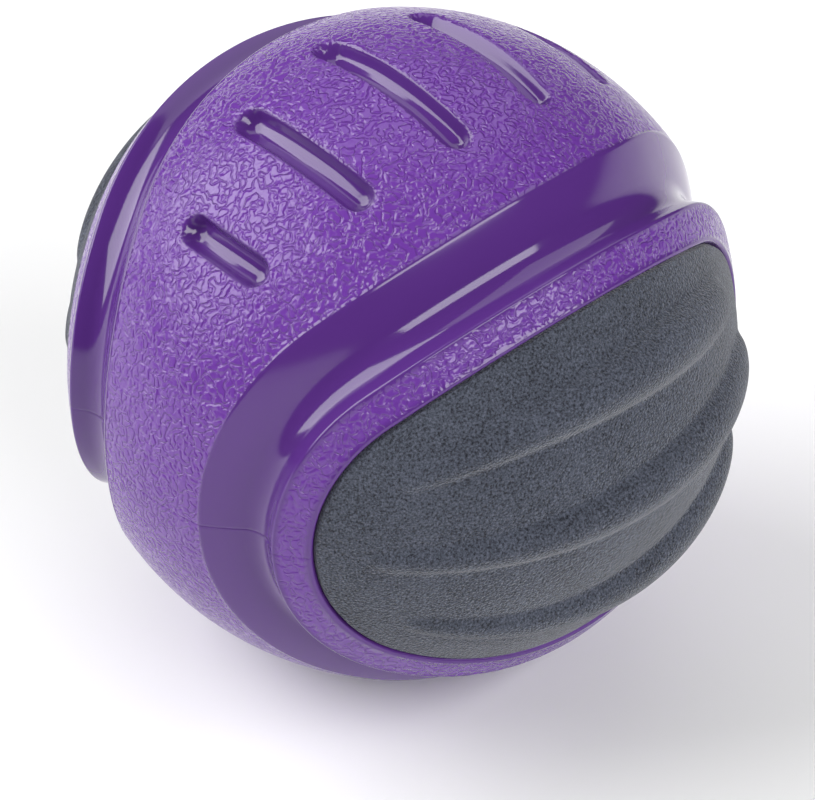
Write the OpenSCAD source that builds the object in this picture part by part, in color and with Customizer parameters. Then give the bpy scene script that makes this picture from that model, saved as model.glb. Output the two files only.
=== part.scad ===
// Two-material play ball: a rubber shell in two bonded halves around a foam core, with a
// ribbed foam pad standing in an oval window on the front (-Y) and on the rear (+Y).
// The seam lies in the XY plane. The ball's centre is the origin.

/* [Ball] */
// Diameter across the textured band
ball_d = 80; // [70:1:90]
// Wall of the shell at the band
shell_wall = 6; // [5.5:0.5:7]

/* [Windows] */
// Half length of a window along X, as an angle at the ball's centre
window_len = 56.7; // [54:0.1:58]
// Half width of a window along Z, as an angle at the ball's centre
window_wid = 37.3; // [35:0.1:38]
// Radius of the window's round ends, as an angle at the ball's centre
window_end = 30; // [29:0.5:31]
// Width of the raised rim round a window
rim_w = 4.8; // [4:0.1:5.5]
// Height of the rim above the band's sphere
rim_proud = 0.6; // [0:0.1:1]

/* [Groove] */
// Width of the smooth groove between rim and band
groove_w = 9.7; // [8:0.1:10.5]
// Depth of the groove's valley below the band's sphere
groove_d = 2.2; // [2:0.1:2.5]
// Radius of the valley, at the foot of the rim
valley_r = 2.5; // [1.8:0.1:2.5]
// Distance from the rim's edge to the middle of the valley
valley_in = 2.7; // [2.6:0.1:3]

/* [Grip slots] */
// Width of a slot
slot_w = 3.8; // [3:0.1:4.5]
// Depth of a slot at its middle
slot_d = 2.4; // [2:0.1:3]
// Angle from one slot to the next, about the Y axis
slot_step = 21; // [18:0.5:22]
// Overall length of the middle slot
slot_len_mid = 25.6; // [20:0.1:28]
// Overall length of the slots next to the middle one
slot_len_next = 22.8; // [18:0.1:25]
// Overall length of the outer slots
slot_len_outer = 14; // [10:0.1:18]

/* [Foam pads] */
// Gap between a pad and its window
pad_gap = 0.25; // [0.15:0.05:0.4]
// Depth of the pad's valleys below the band's sphere
pad_sunk = 0.3; // [0.1:0.1:0.8]
// Height of a rib's crest above the band's sphere
rib_proud = 2; // [1.6:0.1:2.4]
// Radius of a rib's round back
rib_r = 4.8; // [4.5:0.1:5.5]
// Radius of the bend along the middle rib
rib_bend_mid = 31; // [30:0.2:31.6]
// Radius of the bend along the two outer ribs
rib_bend_outer = 27.2; // [26:0.2:28]
// Angle that the outer ribs lean away from the middle one
rib_lean = 40.8; // [36:0.2:44]
// Distance in front of the ball's centre of the line that the ribs fan out from
rib_fan = 18.6; // [16:0.1:20]
// Width of the flange that holds a pad behind its window
flange_w = 4; // [3:0.5:4.5]
// Thickness of the flange
flange_t = 3.5; // [2.5:0.5:4]

/* [Seam] */
// Width of the locating tongue on the seam
tongue_w = 1.2; // [1:0.1:1.4]
// Height of the tongue
tongue_h = 1; // [0.6:0.1:1.5]
// Clearance round the tongue
tongue_gap = 0.1; // [0.05:0.05:0.15]

/* [Hidden] */
$fn = 96;

shell_purple = [0.42, 0.23, 0.62];
pad_grey = [0.27, 0.29, 0.34];
core_grey = [0.36, 0.38, 0.43];

ball_r = ball_d / 2;
core_r = ball_r - shell_wall;
rim_r = ball_r + rim_proud;
pocket_r = core_r - flange_t;
pad_r = ball_r - pad_sunk;
reach = ball_r * 1.2;

// Angle at the ball's centre of a length laid along the band's sphere.
function arc_deg(len) = len / ball_r * 180 / PI;

// The windows, rims and grooves share one oval of four round arcs, drawn about the window's
// axis. Two end arcs are centred end_tilt to either side along X. Two flank arcs are centred
// flank_tilt to either side along Z. A wider oval keeps these centres and adds to both radii.
end_tilt = window_len - window_end;
flank_rad = atan2(
    cos(window_end) - cos(end_tilt) * cos(window_wid),
    cos(end_tilt) * sin(window_wid) - sin(window_end));
flank_tilt = flank_rad - window_wid;
end_span = atan(tan(flank_tilt) / sin(end_tilt));
flank_span = atan(tan(end_tilt) / sin(flank_tilt));

// Where an end arc meets a flank arc, as an angle about the window's width axis.
function meet_deg(end_rad, flank_rad) =
    atan2(sin(flank_rad) * sin(end_tilt),
          sin(flank_rad) * cos(end_tilt) - sin(end_rad) * cos(flank_tilt));

rim_deg = arc_deg(rim_w);
groove_deg = arc_deg(groove_w);
flange_deg = arc_deg(flange_w);
gap_deg = arc_deg(pad_gap);

// The groove's section is drawn with y = 0 on the sphere at its middle and x away from the
// rim. A straight wall and a long shoulder run down to the round valley from its two edges.
groove_mid = rim_deg + groove_deg / 2;
groove_half = ball_r * sin(groove_deg / 2);
edge_y = -ball_r * (1 - cos(groove_deg / 2));
valley = [valley_in - groove_half, valley_r - groove_d];

// The cut reaches groove_top above the sphere. Arcs that meet at a tangent overlap by bar_lap
// degrees, with one of the two a hair bigger, so that they cross instead of just touching.
groove_top = 4;
bar_lap = 0.5;
hair = 0.02;
hair_deg = arc_deg(hair);

// Where a line from p touches the circle of radius r about c, on the side given by turn.
function touch(p, c, r, turn) =
    let (v = p - c, a = atan2(v.y, v.x) + turn * acos(r / norm(v)))
    c + r * [cos(a), sin(a)];

slot_lens = [slot_len_outer, slot_len_next, slot_len_mid, slot_len_next, slot_len_outer];

// Distance from the fan line to the crest of a rib that leans by lean.
function rib_crest(lean) =
    sqrt(pow(ball_r + rib_proud, 2) - pow(rib_fan * sin(lean), 2)) - rib_fan * cos(lean);

tongue_mid_r = (core_r + ball_r - groove_d) / 2;
tongue_span = 29;

// Half of the bend of a rib's bar, far enough for both ends to be buried in the pad.
rib_span = 60;
// Depth of the wedge that parts the oval's arcs, enough to pass right through every cone.
wedge_depth = 12 * reach;

// A sphere about the ball's centre, with its poles on the window axes.
module ball(r) {
    rotate([90, 0, 0]) rotate([0, 0, 45]) sphere(r);
}

// A bar with the section given by its child, bent about Z, half_span to either side of +X.
module bent_bar(half_span) {
    rotate([0, 0, -half_span])
        rotate_extrude(angle = 2 * half_span)
            children();
}

// All directions within rad of the +Z axis.
module round_cone(rad) {
    cylinder(h = reach, r1 = 0, r2 = reach * tan(rad));
}

// All directions within half of +Z, turning about the Y axis.
module wedge(half) {
    rotate([90, 0, 0])
        linear_extrude(height = wedge_depth, center = true)
            polygon([[0, 0],
                     [2 * reach * sin(half), 2 * reach * cos(half)],
                     [-2 * reach * sin(half), 2 * reach * cos(half)]]);
}

// All directions inside the window's oval, widened by grow degrees, about the +Z axis. The
// end cones are a hair wider than the flanks, so that they cover the wedge's cut cleanly.
module oval_cone(grow) {
    end_rad = window_end + grow;
    flank = flank_rad + grow;
    intersection() {
        rotate([flank_tilt, 0, 0]) round_cone(flank);
        rotate([-flank_tilt, 0, 0]) round_cone(flank);
        wedge(meet_deg(end_rad, flank));
    }
    for (side = [-1, 1])
        rotate([0, side * end_tilt, 0]) round_cone(end_rad + hair_deg);
}

module groove_section() {
    rim_edge = [-groove_half, edge_y];
    band_edge = [groove_half, edge_y];
    polygon([rim_edge,
             touch(rim_edge, valley, valley_r, 1),
             touch(band_edge, valley, valley_r, -1),
             band_edge,
             [groove_half, groove_top],
             [-groove_half, groove_top]]);
    translate(valley) circle(valley_r);
}

// The groove's section on a sphere of radius r, rad away from the Z axis.
module groove_section_at(rad, r) {
    rotate(-rad) translate([0, r]) groove_section();
}

// The groove round a window about the +Z axis: one bent bar for each arc of the oval. The
// flank bars are a hair deeper than the end bars, so that the bars overlap cleanly.
module oval_groove() {
    for (turn = [0, 180]) rotate([0, 0, turn]) {
        rotate([0, end_tilt, 0])
            bent_bar(end_span + bar_lap)
                groove_section_at(window_end + groove_mid, ball_r);
        rotate([flank_tilt, 0, 0])
            rotate([0, 0, 90])
                bent_bar(flank_span + bar_lap)
                    groove_section_at(flank_rad + groove_mid, ball_r - hair);
    }
}

// Turns a shape made about +Z so that it faces the front.
module facing_front() {
    rotate([90, 0, 0]) children();
}

module on_both_windows() {
    facing_front() children();
    mirror([0, 1, 0]) facing_front() children();
}

// A straight bar with round ends that stands on +Z and cuts one slot across the band.
module slot_bar(len) {
    run = len - slot_w;
    translate([-slot_w / 2, -run / 2, 0])
        cube([slot_w, run, reach]);
    for (side = [-1, 1])
        translate([0, side * run / 2, 0])
            cylinder(h = reach, r = slot_w / 2);
}

// The row of blind slots over the top of the band, down to one floor.
module grip_slots() {
    difference() {
        for (i = [0 : 4])
            rotate([0, (i - 2) * slot_step, 0])
                slot_bar(slot_lens[i]);
        ball(ball_r - slot_d);
    }
}

// Both halves of the shell in one, before the seam is cut. The raised disc under each rim ends
// over the groove, which cuts its edge away.
module whole_shell() {
    difference() {
        union() {
            ball(ball_r);
            on_both_windows() intersection() {
                ball(rim_r);
                oval_cone(rim_deg + groove_deg / 4);
            }
        }
        ball(core_r);
        on_both_windows() {
            oval_cone(0);
            oval_groove();
        }
        grip_slots();
        mirror([0, 0, 1]) grip_slots();
    }
}

// A locating strip on the seam on each side of the ball, grown by gap, hanging below z = 0.
module seam_strip(gap) {
    for (turn = [0, 180])
        rotate([0, 0, turn])
            bent_bar(tongue_span)
                translate([tongue_mid_r - tongue_w / 2 - gap, -tongue_h - gap])
                    square([tongue_w + 2 * gap, tongue_h + gap]);
}

module upper_half_space() {
    translate([-reach, -reach, 0])
        cube([2 * reach, 2 * reach, reach]);
}

// Upper half of the rubber shell, with the tongue of the seam.
module upper_shell() {
    color(shell_purple) {
        intersection() {
            whole_shell();
            upper_half_space();
        }
        seam_strip(0);
    }
}

// Lower half of the rubber shell, with the channel that takes the tongue.
module lower_shell() {
    color(shell_purple)
        difference() {
            intersection() {
                whole_shell();
                mirror([0, 0, 1]) upper_half_space();
            }
            seam_strip(tongue_gap);
        }
}

// One rib of a pad about +Z: a round bar that leans by lean about the fan line and is bent
// to the radius bend, so that its ends run down into the pad.
module pad_rib(lean, bend) {
    translate([0, 0, rib_fan])
        rotate([lean, 0, 0])
            translate([0, 0, rib_crest(lean) - rib_r - bend])
                rotate([90, 0, 0])
                    rotate([0, 0, 90])
                        bent_bar(rib_span)
                            translate([bend, 0])
                                circle(rib_r);
}

// A foam pad about +Z: the ribbed face in the window and the flange behind it.
module pad_solid() {
    difference() {
        union() {
            intersection() {
                oval_cone(-gap_deg);
                union() {
                    ball(pad_r);
                    pad_rib(0, rib_bend_mid);
                    for (lean = [-rib_lean, rib_lean])
                        pad_rib(lean, rib_bend_outer);
                }
            }
            intersection() {
                oval_cone(flange_deg);
                ball(core_r);
            }
        }
        ball(pocket_r);
    }
}

module front_pad() {
    color(pad_grey) facing_front() pad_solid();
}

module rear_pad() {
    color(pad_grey) mirror([0, 1, 0]) facing_front() pad_solid();
}

// The foam ball inside, with a shallow pocket for each pad's flange.
module foam_core() {
    color(core_grey)
        difference() {
            ball(core_r);
            on_both_windows() difference() {
                oval_cone(flange_deg);
                ball(pocket_r);
            }
        }
}

upper_shell();
lower_shell();
front_pad();
rear_pad();
foam_core();
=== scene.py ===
"""Two-material play ball: a grained purple rubber shell with glossy grooves and slots, round two
ribbed foam pads. The ball's lengths are in millimetres and its angles in radians until a mesh is
made. The studio's are in metres and degrees.
"""

import math

import bpy
import numpy as np
from mathutils import Matrix, Vector


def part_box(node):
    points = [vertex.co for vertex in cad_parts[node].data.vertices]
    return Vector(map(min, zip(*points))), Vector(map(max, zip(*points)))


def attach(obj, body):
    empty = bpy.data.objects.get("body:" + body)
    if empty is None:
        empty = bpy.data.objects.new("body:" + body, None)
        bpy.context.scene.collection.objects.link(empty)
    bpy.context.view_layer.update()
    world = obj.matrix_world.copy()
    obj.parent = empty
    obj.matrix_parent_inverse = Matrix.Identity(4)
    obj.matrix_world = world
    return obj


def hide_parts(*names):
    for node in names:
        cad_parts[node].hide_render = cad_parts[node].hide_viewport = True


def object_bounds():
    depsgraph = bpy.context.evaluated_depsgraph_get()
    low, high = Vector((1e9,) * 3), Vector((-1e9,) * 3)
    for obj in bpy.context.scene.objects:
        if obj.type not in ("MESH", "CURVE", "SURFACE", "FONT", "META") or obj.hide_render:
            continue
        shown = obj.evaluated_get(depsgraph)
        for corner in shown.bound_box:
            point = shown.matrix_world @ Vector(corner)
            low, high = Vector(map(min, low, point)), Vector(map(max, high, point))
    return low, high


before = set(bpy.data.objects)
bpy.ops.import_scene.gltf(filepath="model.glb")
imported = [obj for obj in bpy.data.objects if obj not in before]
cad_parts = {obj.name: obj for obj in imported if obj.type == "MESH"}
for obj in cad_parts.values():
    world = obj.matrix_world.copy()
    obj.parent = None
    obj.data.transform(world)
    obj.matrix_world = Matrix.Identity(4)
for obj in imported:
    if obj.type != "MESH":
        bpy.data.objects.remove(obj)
cad_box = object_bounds()

MM = 0.001
SHELL_LOW, SHELL_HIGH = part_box("upper_shell")
BALL_R = (SHELL_HIGH.x - SHELL_LOW.x) / 2 / MM

# Radii of the hidden surfaces: the core's outside, and the floor of its two pockets.
CORE_R = BALL_R - 6.0
POCKET_R = CORE_R - 3.5

# The window's oval: two end arcs and two flank arcs about the window's axis.
WINDOW_LEN = math.radians(56.7)
WINDOW_WID = math.radians(37.3)
END_RAD = math.radians(30.0)
END_TILT = WINDOW_LEN - END_RAD
FLANK_RAD = math.atan2(
    math.cos(END_RAD) - math.cos(END_TILT) * math.cos(WINDOW_WID),
    math.cos(END_TILT) * math.sin(WINDOW_WID) - math.sin(END_RAD),
)
FLANK_TILT = FLANK_RAD - WINDOW_WID

# Section across the rim and the groove: x is the distance from the window's edge along the
# band's sphere, and the height is above that sphere. The rim's top falls from RIM_PROUD at the
# groove to RIM_INNER at the window, whose wall the section follows down to LIP_DEPTH.
RIM_W = 4.7
RIM_PROUD = 0.6
RIM_INNER = 0.1
LIP_DEPTH = 1.5
BAND_EDGE = 14.6
WALL_SLOPE = math.radians(58)
SHOULDER_SLOPE = math.radians(23.5)
VALLEY_R = 3.4
LIP_R = 0.5
RIM_EDGE_R = 0.4
BAND_EDGE_R = 1.1
SECTION_STEP = 0.8
ARC_STEPS = 6

# Slots over the band, at equal angles about the Y axis. A slot's mouth is SLOT_FLARE wider on each
# side than SLOT_W says, its wall leans in by SLOT_WALL, and its floor is dished by SLOT_DISH.
SLOT_W = 3.8
SLOT_D = 2.4
SLOT_STEP = math.radians(21.0)
SLOT_TURNS = (-2 * SLOT_STEP, -SLOT_STEP, 0, SLOT_STEP, 2 * SLOT_STEP)
SLOT_LENS = (14.0, 22.8, 25.6, 22.8, 14.0)
SLOT_FLARE = 0.2
SLOT_WALL = 0.7
SLOT_DISH = 0.55
SLOT_LIP_R = 0.45
SLOT_FLOOR_R = 0.8

# Seam between the two halves, a hairline at z = 0.
SEAM_HALF = 0.1
SEAM_D = 0.06

# Where the pebble grain fades in: on the rim from its window's side and from the groove's, on the
# band from its edge, and round a slot.
RIM_GRAIN_IN = (0.55, 1.0)
RIM_GRAIN_OUT = (RIM_W - 0.75, RIM_W - 0.35)
BAND_GRAIN = (0.0, 0.6)
SLOT_GRAIN = (0.1, 0.45)

# Steps of the shell's mesh. The inside keeps one in COARSE_STEP of the outside's rows and columns.
COLUMN_STEP = math.radians(1.1)
BESIDE_SEAM = 0.5
BAND_ROWS = 48
COARSE_STEP = 8

# Foam pads, each with a flange behind the rim. The ribs' height RIB_RISE and the radius of their
# backs RIB_BACK_R are given at -X and at +X. A rib runs as far as its reach on each side of the
# pad's middle, and a larger RIB_FULLNESS makes its ends blunter. The outer ribs lie RIB_SPREAD from
# the middle one and close in on it by RIB_FALL at their ends.
PAD_GAP = 0.06
PAD_R = BALL_R - 0.2
PAD_LIP_R = 0.5
PAD_COLUMNS = 288
PAD_ROWS = 72
PAD_SIDE_R = CORE_R + 2.5
FLANGE_W = 4.0
RIB_RISE = (0.95, 2.2)
RIB_BACK_R = (2.6, 4.8)
RIB_SPREAD = math.radians(22.8)
RIB_FALL = math.radians(6.0)
RIB_REACH_MID = math.radians(47)
RIB_REACH_OUTER = math.radians(40.5)
RIB_FULLNESS = 5.0
RIB_BLEND = 0.1


# ---------------------------------------------------------------- curves and outlines


def rounded(points, radii, steps=ARC_STEPS):
    """The open line through points, with the inner corners rounded to the given radii."""
    points = [np.array(p, float) for p in points]
    line = [points[0]]
    for before, corner, after, radius in zip(points, points[1:], points[2:], radii):
        to_before = (before - corner) / np.linalg.norm(before - corner)
        to_after = (after - corner) / np.linalg.norm(after - corner)
        half = math.acos(np.clip(to_before @ to_after, -1, 1)) / 2
        middle = to_before + to_after
        centre = corner + middle / np.linalg.norm(middle) * radius / math.sin(half)
        start = corner + to_before * radius / math.tan(half) - centre
        end = corner + to_after * radius / math.tan(half) - centre
        turn = math.pi - 2 * half
        for i in range(steps + 1):
            t = i / steps
            mix = (math.sin((1 - t) * turn) * start + math.sin(t * turn) * end) / math.sin(turn)
            line.append(centre + mix)
    line.append(points[-1])
    return np.array(line)


def refined(line, longest):
    """The same line, with extra points so that no piece is longer than longest."""
    out = [line[0]]
    for a, b in zip(line, line[1:]):
        count = max(1, math.ceil(np.linalg.norm(b - a) / longest))
        out += [a + (b - a) * i / count for i in range(1, count + 1)]
    return np.array(out)


def smooth(low, high, value):
    """A soft step from 0 at low to 1 at high."""
    t = np.clip((value - low) / (high - low), 0, 1)
    return t * t * (3 - 2 * t)


def oval_theta(phi, grow):
    """Angle from the window's axis to its oval widened by grow, at the angle phi about the axis."""
    across, along = np.abs(np.sin(phi)), np.abs(np.cos(phi))
    end = np.arctan2(along * math.sin(END_TILT), math.cos(END_TILT)) + np.arccos(
        np.cos(END_RAD + grow) / np.hypot(along * math.sin(END_TILT), math.cos(END_TILT))
    )
    flank = np.arctan2(-across * math.sin(FLANK_TILT), math.cos(FLANK_TILT)) + np.arccos(
        np.cos(FLANK_RAD + grow) / np.hypot(across * math.sin(FLANK_TILT), math.cos(FLANK_TILT))
    )
    # the arcs meet on the great circle through their centres
    end_centre = np.array([math.sin(END_TILT), math.cos(END_TILT), 0])
    flank_centre = np.array([0, math.cos(FLANK_TILT), -math.sin(FLANK_TILT)])
    apart = FLANK_RAD - END_RAD
    away = (end_centre * math.cos(apart) - flank_centre) / math.sin(apart)
    grow = np.asarray(grow, float)[..., None]
    meet = end_centre * np.cos(END_RAD + grow) + away * np.sin(END_RAD + grow)
    return np.where(np.arctan2(across, along) < np.arctan2(meet[..., 2], meet[..., 0]), end, flank)


def direction(phi, theta):
    """Unit vectors at theta from the front window's axis and phi about it."""
    return np.stack(
        [np.sin(theta) * np.cos(phi), -np.cos(theta) + 0 * phi, np.sin(theta) * np.sin(phi)], axis=-1
    )


# ---------------------------------------------------------------- meshes


def make_piece(name, points, faces, material, node, attributes=()):
    """A closed mesh in metres that rides on the root body and stands for a CAD node."""
    sharp_above = math.radians(50)
    mesh = bpy.data.meshes.new(name)
    mesh.from_pydata((np.asarray(points) * MM).tolist(), [], faces)
    for key, values in attributes:
        mesh.attributes.new(key, "FLOAT", "POINT").data.foreach_set("value", values.astype(np.float32))
    mesh.validate()
    mesh.update()
    mesh.shade_smooth()
    mesh.set_sharp_from_angle(angle=sharp_above)
    mesh.materials.append(material)
    piece = bpy.data.objects.new(name, mesh)
    bpy.context.scene.collection.objects.link(piece)
    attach(piece, "root")
    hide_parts(node)
    return piece


def grid_faces(index, flip=False):
    """Quads over a 2-D array of vertex numbers."""
    a, b, c, d = index[:-1, :-1], index[1:, :-1], index[1:, 1:], index[:-1, 1:]
    quads = np.stack([a, d, c, b] if flip else [a, b, c, d], axis=-1).reshape(-1, 4)
    return quads.tolist()


# ---------------------------------------------------------------- rubber shell


def crossing(a, slope_a, b, slope_b):
    """Where the line through a with slope_a crosses the line through b with slope_b."""
    x = (b[1] - a[1] + slope_a * a[0] - slope_b * b[0]) / (slope_a - slope_b)
    return x, a[1] + slope_a * (x - a[0])


def rim_and_groove():
    """The section from the window's edge to the band: rim, steep wall, round valley, shoulder."""
    crest, edge = (RIM_W, RIM_PROUD), (BAND_EDGE, 0)
    foot = crossing(crest, -math.tan(WALL_SLOPE), edge, math.tan(SHOULDER_SLOPE))
    # the last point only says which way the line turns at the band's edge
    line = rounded(
        [(0, -LIP_DEPTH), (0, RIM_INNER), crest, foot, edge, (BAND_EDGE + 3, 0)],
        [LIP_R, RIM_EDGE_R, VALLEY_R, BAND_EDGE_R],
        steps=2 * ARC_STEPS,
    )
    return refined(line[:-1], SECTION_STEP)


def slot_depth(across, along, length):
    """Depth of one slot below the band, and how far a point is from the slot's outline."""
    run = length / 2 - SLOT_W / 2
    apart = np.hypot(across, np.maximum(np.abs(along) - run, 0)) - SLOT_W / 2
    band, mouth = (3.0, 0.0), (SLOT_FLARE, 0.0)
    foot, middle = (SLOT_FLARE - SLOT_WALL, SLOT_DISH - SLOT_D), (-SLOT_W / 2, -SLOT_D)
    section = rounded([band, mouth, foot, middle], [SLOT_LIP_R, SLOT_FLOOR_R])[::-1]
    return np.interp(apart, section[:, 0], section[:, 1]), apart


def slots(points):
    """Height and grain of the band at these directions, with its slots pressed in."""
    height = np.zeros(points.shape[:-1])
    grain = np.ones(points.shape[:-1])
    for turn, length in zip(SLOT_TURNS, SLOT_LENS):
        across = (points[..., 0] * math.cos(turn) - np.abs(points[..., 2]) * math.sin(turn)) * BALL_R
        above = points[..., 0] * math.sin(turn) + np.abs(points[..., 2]) * math.cos(turn)
        depth, apart = slot_depth(across, points[..., 1] * BALL_R, length)
        near = above > 0.5  # not the opposite side of the ball
        height = np.where(near, np.minimum(height, depth), height)
        grain = np.where(near, np.minimum(grain, smooth(*SLOT_GRAIN, apart)), grain)
    return height, grain


def shell_columns():
    """Angles about the window's axis over one half, closer together at slot walls and the seam."""
    wall_offsets = np.array([0.5, 0.95, 1.2, 1.4, 1.55, 1.7, 1.85, 2.0, 2.2, 2.5, 3.0])
    zone = np.concatenate([-wall_offsets[::-1], [0], wall_offsets]) / BALL_R
    angles = [0, SEAM_HALF / BALL_R, BESIDE_SEAM / BALL_R]
    for turn in SLOT_TURNS:
        middle = math.pi / 2 + turn
        start = middle + zone[0]
        count = math.ceil((start - angles[-1]) / COLUMN_STEP)
        angles += list(np.linspace(angles[-1], start, count + 1)[1:-1])
        angles += list(middle + zone)
    end = math.pi - BESIDE_SEAM / BALL_R
    count = math.ceil((end - angles[-1]) / COLUMN_STEP)
    angles += list(np.linspace(angles[-1], end, count + 1)[1:])
    angles += [math.pi - SEAM_HALF / BALL_R, math.pi]
    return np.array(angles)


def shell_front(phi):
    """Points and grain of the outside, from the front window's edge to the middle of the band."""
    x, section_height = rim_and_groove().T
    theta = oval_theta(phi, x[None, :] / BALL_R)
    height = np.broadcast_to(section_height, theta.shape)
    on_rim = smooth(*RIM_GRAIN_IN, x) * (1 - smooth(*RIM_GRAIN_OUT, x))
    grain = np.broadcast_to(on_rim, theta.shape)

    share = np.linspace(0, 1, BAND_ROWS + 1)[1:]
    start = theta[:, -1:]
    band_theta = start + share[None, :] * (math.pi / 2 - start)
    band_height, band_grain = slots(direction(phi, band_theta))
    from_edge = (band_theta - oval_theta(phi, BAND_EDGE / BALL_R)) * BALL_R
    band_grain = band_grain * smooth(*BAND_GRAIN, from_edge)

    theta = np.hstack([theta, band_theta])
    height = np.hstack([height, band_height])
    half_hairline = SEAM_HALF / BALL_R / 2
    height = height - SEAM_D * ((phi < half_hairline) | (phi > math.pi - half_hairline))
    return direction(phi, theta) * (BALL_R + height)[..., None], np.hstack([grain, band_grain])


def coarse(count):
    """Every COARSE_STEP-th number below count, and the last one."""
    return np.unique(np.append(np.arange(0, count - 1, COARSE_STEP), count - 1))


def edge_faces(outer_line, inner_line, kept, flip):
    """Faces that close the shell between an edge of its outside and the coarser one inside."""
    faces = []
    for i, (a, b) in enumerate(zip(kept, kept[1:])):
        face = outer_line[a : b + 1].tolist() + inner_line[[i + 1, i]].tolist()
        faces.append(face if flip else face[::-1])
    return faces


def shell_half(name, node, side, material):
    """One half of the shell. side is 1 for the upper half and -1 for the lower."""
    front, front_grain = shell_front(shell_columns()[:, None])
    rear = front[:, -2::-1] * [1, -1, 1]
    outer = np.concatenate([front, rear], axis=1) * [1, 1, side]
    outer_grain = np.concatenate([front_grain, front_grain[:, -2::-1]], axis=1)

    columns, rows = outer.shape[:2]
    kept_columns, kept_rows = coarse(columns), coarse(rows)
    inner = outer[np.ix_(kept_columns, kept_rows)]
    inner = inner / np.linalg.norm(inner, axis=-1, keepdims=True) * CORE_R
    inner_grain = np.zeros(inner.shape[:2])

    number = np.arange(outer_grain.size).reshape(outer_grain.shape)
    inner_number = outer_grain.size + np.arange(inner_grain.size).reshape(inner_grain.shape)
    up = side > 0
    faces = grid_faces(number, flip=not up) + grid_faces(inner_number, flip=up)
    faces += edge_faces(number[:, 0], inner_number[:, 0], kept_columns, flip=up)
    faces += edge_faces(number[:, -1], inner_number[:, -1], kept_columns, flip=not up)
    faces += edge_faces(number[0], inner_number[0], kept_rows, flip=not up)
    faces += edge_faces(number[-1], inner_number[-1], kept_rows, flip=up)

    points = np.vstack([outer.reshape(-1, 3), inner.reshape(-1, 3)])
    grain = np.concatenate([outer_grain.ravel(), inner_grain.ravel()])
    piece = make_piece(name, points, faces, material, node, [("grain", grain)])
    return piece


# ---------------------------------------------------------------- foam pads


def smooth_max(a, b, blend):
    """The larger of a and b, rounded where they cross."""
    return (a + b + np.sqrt((a - b) ** 2 + blend * blend)) / 2


def pad_height(points):
    """Radius of a pad's face in these directions. The ribs rise from low at -X to high at +X."""
    theta = np.arccos(np.clip(-points[..., 1], -1, 1))
    sine = np.maximum(np.sin(theta), 1e-6)
    u = theta * points[..., 0] / sine
    v = theta * points[..., 2] / sine
    radius = np.full(points.shape[:-1], PAD_R)
    for lean, reach in ((0, RIB_REACH_MID), (-1, RIB_REACH_OUTER), (1, RIB_REACH_OUTER)):
        middle = lean * (RIB_SPREAD - RIB_FALL * (u / reach) ** 2)
        taper = np.sqrt(np.maximum(1 - (np.abs(u) / reach) ** RIB_FULLNESS, 0))
        across = (v - middle) * BALL_R
        share = smooth(-reach, reach / 2, u)
        back_r = RIB_BACK_R[0] + (RIB_BACK_R[1] - RIB_BACK_R[0]) * share
        crest = PAD_R + (RIB_RISE[0] + (RIB_RISE[1] - RIB_RISE[0]) * share) * taper
        back = crest - back_r + np.sqrt(np.maximum(back_r**2 - across**2, 0.01))
        back = np.where(np.abs(u) < reach, back, 0)
        radius = smooth_max(radius, back, RIB_BLEND)
    return radius


def pad_section():
    """The edge of a pad below its face: distance out from the pad's edge, and radius."""
    return [
        (0.0, PAD_SIDE_R),
        (0.0, CORE_R),
        (PAD_GAP + FLANGE_W, CORE_R),
        (PAD_GAP + FLANGE_W, POCKET_R),
    ]


def foam_pad(name, node, side, material):
    """A ribbed pad. side is 1 for the front and -1 for the rear."""
    phi = np.arange(PAD_COLUMNS)[:, None] * 2 * math.pi / PAD_COLUMNS
    edge = oval_theta(phi, -PAD_GAP / BALL_R)
    share = np.linspace(0, 1, PAD_ROWS + 1)[1:]
    theta = edge * share
    face = direction(phi, theta)
    radius = pad_height(face)
    from_edge = (edge - theta) * BALL_R
    over_lip = np.maximum(PAD_LIP_R - from_edge, 0)
    lip = PAD_LIP_R - np.sqrt(np.maximum(PAD_LIP_R**2 - over_lip**2, 0))
    rings = [face * (radius - lip)[..., None]]
    for out, at in pad_section():
        ring_theta = oval_theta(phi, (out - PAD_GAP) / BALL_R)
        rings.append(direction(phi, ring_theta) * at)
    for share in (0.8, 0.5, 0.2):  # across the back, which rests in the core's pocket
        rings.append(direction(phi, oval_theta(phi, FLANGE_W / BALL_R) * share) * POCKET_R)
    rings = np.concatenate(rings, axis=1)

    columns, rows = rings.shape[:2]
    number = np.arange(columns * rows).reshape(columns, rows)
    wrapped = np.vstack([number, number[:1]])
    faces = grid_faces(wrapped, flip=side < 0)
    top, bottom = columns * rows, columns * rows + 1
    for j in range(columns):
        a, b = wrapped[j, 0], wrapped[j + 1, 0]
        c, d = wrapped[j, -1], wrapped[j + 1, -1]
        faces += [[top, b, a], [bottom, c, d]] if side > 0 else [[top, a, b], [bottom, d, c]]
    tip = pad_height(np.array([[0.0, -1.0, 0.0]]))[0]
    points = np.vstack([rings.reshape(-1, 3), [[0, -tip, 0], [0, -POCKET_R, 0]]]) * [1, side, 1]
    piece = make_piece(name, points, faces, material, node)
    return piece


# ---------------------------------------------------------------- materials


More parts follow.
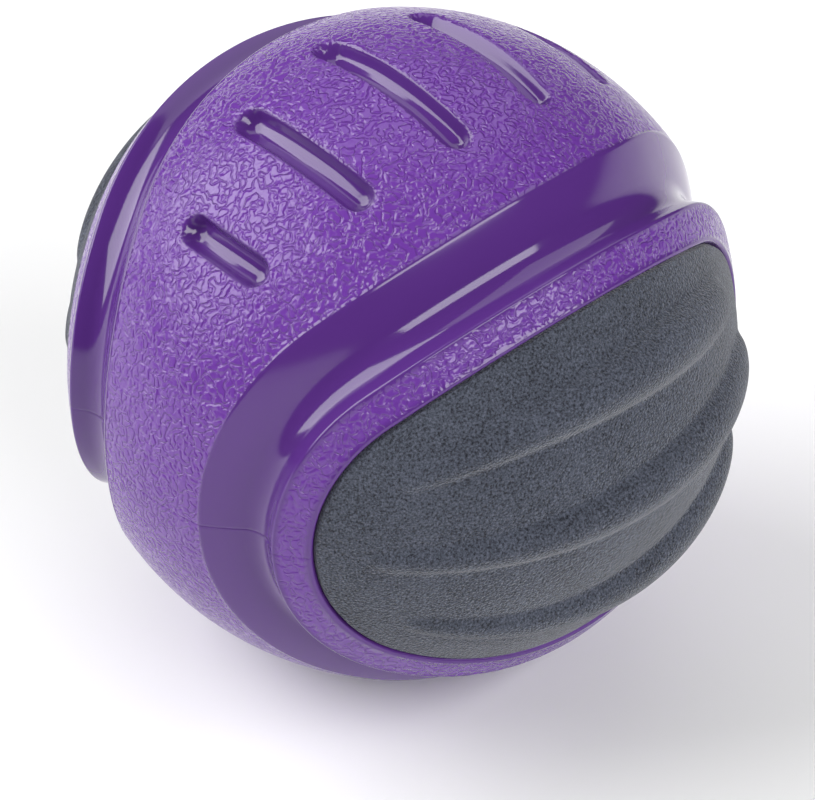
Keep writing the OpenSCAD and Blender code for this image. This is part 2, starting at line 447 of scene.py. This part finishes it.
class Nodes:
    """A short way to add nodes to a new material."""

    def __init__(self, name):
        self.material = bpy.data.materials.new(name)
        self.material.use_nodes = True
        self.tree = self.material.node_tree
        self.shader = next(n for n in self.tree.nodes if n.type == "BSDF_PRINCIPLED")

    def add(self, kind, settings=None, **inputs):
        """A node with its settings and its inputs, which are values or other nodes' outputs."""
        node = self.tree.nodes.new(kind)
        for key, value in (settings or {}).items():
            setattr(node, key, value)
        for key, value in inputs.items():
            self.feed(node, key.replace("_", " "), value)
        return node

    def feed(self, node, socket, value):
        """Link or set one of a node's inputs, which is named or numbered."""
        found = node.inputs[int(socket)] if socket.isdigit() else node.inputs[socket]
        if isinstance(value, bpy.types.NodeSocket):
            self.tree.links.new(value, found)
        else:
            found.default_value = value

    def math(self, operation, a, b=0.0):
        """A sum, a product or the like of two numbers."""
        node = self.add("ShaderNodeMath", {"operation": operation})
        self.feed(node, "0", a)
        self.feed(node, "1", b)
        return node.outputs[0]

    def mix(self, factor, a, b):
        """A mix of two numbers."""
        node = self.add("ShaderNodeMix", {"data_type": "FLOAT"})
        self.feed(node, "0", factor)
        self.feed(node, "2", a)
        self.feed(node, "3", b)
        return node.outputs[0]

    def colours(self, factor, *stops):
        """A colour ramp between two stops, each a place and a colour."""
        node = self.add("ShaderNodeValToRGB")
        for element, (place, colour) in zip(node.color_ramp.elements, stops):
            element.position = place
            element.color = (*colour, 1)
        self.feed(node, "0", factor)
        return node.outputs[0]

    def noise(self, where, size, detail, rough=0.5, distortion=0.0):
        """Noise whose lumps are about size millimetres across."""
        node = self.add("ShaderNodeTexNoise", Vector=where, Scale=1 / (size * MM))
        node.inputs["Detail"].default_value = detail
        node.inputs["Roughness"].default_value = rough
        node.inputs["Distortion"].default_value = distortion
        return node

    def place(self):
        """The place on the object, in metres."""
        return self.add("ShaderNodeTexCoord").outputs["Object"]


def shell_material():
    """Moulded rubber: pebble grained where the grain attribute is 1, and glossy elsewhere."""
    polished, pebbled = (0.085, 0.026, 0.19), (0.135, 0.038, 0.3)
    glossy_rough, pebbled_rough = 0.1, 0.17
    island_size, island_edge, island_height = 0.95, 0.16, 0.15
    uneven_size, uneven_share = 0.6, 0.6
    cloud_size, cloud_share = 14, 0.2

    n = Nodes("shell_rubber")
    where = n.place()
    grained = n.add("ShaderNodeAttribute", {"attribute_name": "grain"}).outputs["Fac"]

    # flat-topped islands, parted by winding valleys where the noise is near its middle
    swell = n.noise(where, island_size, detail=0, distortion=0.4).outputs["Fac"]
    away = n.math("ABSOLUTE", n.math("SUBTRACT", swell, 0.5))
    island = n.add("ShaderNodeMapRange", {"interpolation_type": "SMOOTHSTEP"}, Value=away)
    island.inputs["From Min"].default_value = 0.0
    island.inputs["From Max"].default_value = island_edge
    uneven = n.noise(where, uneven_size, detail=1).outputs["Fac"]
    relief = n.math("ADD", island.outputs[0], n.math("MULTIPLY", uneven, uneven_share))
    relief = n.math("MULTIPLY", relief, grained)
    bump = n.add("ShaderNodeBump", Height=relief, Distance=island_height * MM)
    bump.inputs["Strength"].default_value = 1.0

    cloud = n.noise(where, cloud_size, detail=3).outputs["Fac"]
    tint = n.math("ADD", n.math("MULTIPLY", cloud, cloud_share), n.math("MULTIPLY", grained, 0.8))
    n.feed(n.shader, "Base Color", n.colours(tint, (0.05, polished), (0.95, pebbled)))
    n.feed(n.shader, "Roughness", n.mix(grained, glossy_rough, pebbled_rough))
    n.feed(n.shader, "Normal", bump.outputs[0])
    n.shader.inputs["Specular IOR Level"].default_value = 0.5
    return n.material


def foam_material(name, dark, light):
    """Closed-cell foam: a matt skin with fine cells, a speckle and a pale bloom at its edges."""
    cell_size, cell_height = 0.3, 0.14
    patch_size, patch_share = 9, 0.1

    n = Nodes(name)
    where = n.place()
    speckle = n.noise(where, cell_size, detail=3, rough=0.75).outputs["Fac"]
    patches = n.noise(where, patch_size, detail=2).outputs["Fac"]
    patches = n.math("MULTIPLY", n.math("SUBTRACT", patches, 0.5), patch_share)
    colour = n.colours(n.math("ADD", speckle, patches), (0.34, dark), (0.66, light))
    cells = n.add(
        "ShaderNodeTexVoronoi", {"feature": "F1"}, Vector=where, Scale=1 / (cell_size * MM)
    )
    relief = n.math("ADD", cells.outputs["Distance"], speckle)
    bump = n.add("ShaderNodeBump", Height=relief, Distance=cell_height * MM)
    bump.inputs["Strength"].default_value = 1.0
    n.feed(n.shader, "Base Color", colour)
    n.feed(n.shader, "Normal", bump.outputs[0])
    n.shader.inputs["Roughness"].default_value = 0.9
    n.shader.inputs["Specular IOR Level"].default_value = 0.15
    n.shader.inputs["Sheen Weight"].default_value = 0.36
    n.shader.inputs["Sheen Roughness"].default_value = 0.4
    return n.material


def floor_material():
    """A matt, pale floor."""
    n = Nodes("pale_floor")
    n.shader.inputs["Base Color"].default_value = (0.9, 0.9, 0.9, 1)
    n.shader.inputs["Roughness"].default_value = 0.8
    n.shader.inputs["Specular IOR Level"].default_value = 0.1
    return n.material


# ---------------------------------------------------------------- studio


def make_floor(lowest):
    """A large pale floor that the ball lies on."""
    half = 6.0
    mesh = bpy.data.meshes.new("floor")
    corners = [(x * half, y * half, lowest) for x, y in ((-1, -1), (1, -1), (1, 1), (-1, 1))]
    mesh.from_pydata(corners, [], [(0, 1, 2, 3)])
    mesh.materials.append(floor_material())
    floor = bpy.data.objects.new("floor", mesh)
    bpy.context.scene.collection.objects.link(floor)


def away_from_ball(azimuth, elevation):
    """The unit vector from the ball at an azimuth and elevation in degrees. Azimuth 0 is at -Y."""
    a, e = math.radians(azimuth), math.radians(elevation)
    return Vector((math.sin(a) * math.cos(e), -math.cos(a) * math.cos(e), math.sin(e)))


def make_light(name, centre, azimuth, elevation, width, height, power):
    """A soft rectangular light that faces the ball. Its sizes are in metres."""
    distance = 1.0
    away = away_from_ball(azimuth, elevation)
    data = bpy.data.lights.new(name, "AREA")
    data.shape = "RECTANGLE"
    data.size = width
    data.size_y = height
    data.energy = power
    light = bpy.data.objects.new(name, data)
    light.rotation_mode = "QUATERNION"
    light.location = centre + away * distance
    light.rotation_quaternion = (-away).to_track_quat("-Z", "Y")
    bpy.context.scene.collection.objects.link(light)


def soft_step(tree, value, low, high, at_low, at_high):
    """The output of a node that goes smoothly from at_low to at_high as value passes low to high."""
    node = tree.nodes.new("ShaderNodeMapRange")
    node.interpolation_type = "SMOOTHSTEP"
    node.inputs["From Min"].default_value = low
    node.inputs["From Max"].default_value = high
    node.inputs["To Min"].default_value = at_low
    node.inputs["To Max"].default_value = at_high
    tree.links.new(value, node.inputs["Value"])
    return node.outputs[0]


def make_world():
    """A grey studio that is brighter behind the ball and dimmer overhead."""
    world = bpy.data.worlds.new("studio")
    bpy.context.scene.world = world
    world.use_nodes = True
    tree = world.node_tree
    where = tree.nodes.new("ShaderNodeTexCoord")
    parts = tree.nodes.new("ShaderNodeSeparateXYZ")
    tree.links.new(where.outputs["Generated"], parts.inputs[0])
    behind = soft_step(tree, parts.outputs["Y"], low=-0.2, high=0.4, at_low=0.12, at_high=0.8)
    overhead = soft_step(tree, parts.outputs["Z"], low=0.5, high=0.9, at_low=1.0, at_high=0.35)
    both = tree.nodes.new("ShaderNodeMath")
    both.operation = "MULTIPLY"
    tree.links.new(behind, both.inputs[0])
    tree.links.new(overhead, both.inputs[1])
    tree.links.new(both.outputs[0], tree.nodes["Background"].inputs["Strength"])


def make_camera(centre):
    """A long lens, looking down at the ball from the front left.

    The ball's width and the aim's distance from its centre are shares of the picture's width.
    """
    azimuth, elevation, roll = -39.85, 40.17, -2.4
    distance = 1.4
    ball_share, right_share, down_share = 0.827, 0.0058, 0.0692

    back = away_from_ball(azimuth, elevation)
    data = bpy.data.cameras.new("camera")
    data.sensor_width = 36
    data.lens = data.sensor_width * ball_share / 2 * distance / (BALL_R * MM)
    camera = bpy.data.objects.new("camera", data)
    turn = (-back).to_track_quat("-Z", "Y").to_matrix() @ Matrix.Rotation(math.radians(roll), 3, "Z")
    picture = 2 * BALL_R * MM / ball_share
    aside = turn @ Vector((right_share * picture, -down_share * picture, 0))
    camera.matrix_world = Matrix.Translation(centre + back * distance + aside) @ turn.to_4x4()
    data.clip_start, data.clip_end = 0.1, 20
    bpy.context.scene.collection.objects.link(camera)
    bpy.context.scene.camera = camera


rubber = shell_material()
pad_foam = foam_material("pad_foam", dark=(0.01, 0.011, 0.016), light=(0.115, 0.129, 0.172))
core_foam = foam_material("core_foam", dark=(0.09, 0.1, 0.12), light=(0.2, 0.21, 0.25))

shell_half("shell_top", "upper_shell", 1, rubber)
shell_half("shell_bottom", "lower_shell", -1, rubber)
foam_pad("pad_front", "front_pad", 1, pad_foam)
foam_pad("pad_rear", "rear_pad", -1, pad_foam)
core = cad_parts["foam_core"]
core.data.materials.clear()
core.data.materials.append(core_foam)

centre = (cad_box[0] + cad_box[1]) / 2
make_floor(centre.z - BALL_R * MM)
make_world()
make_light("box_behind", centre, azimuth=-142, elevation=37, width=1.0, height=0.9, power=14.5)
make_light("box_right", centre, azimuth=130, elevation=52, width=0.9, height=0.9, power=3.6)
make_light("box_front", centre, azimuth=3, elevation=37, width=1.1, height=0.46, power=10)
make_camera(centre)

bpy.context.scene.view_settings.view_transform = "Standard"
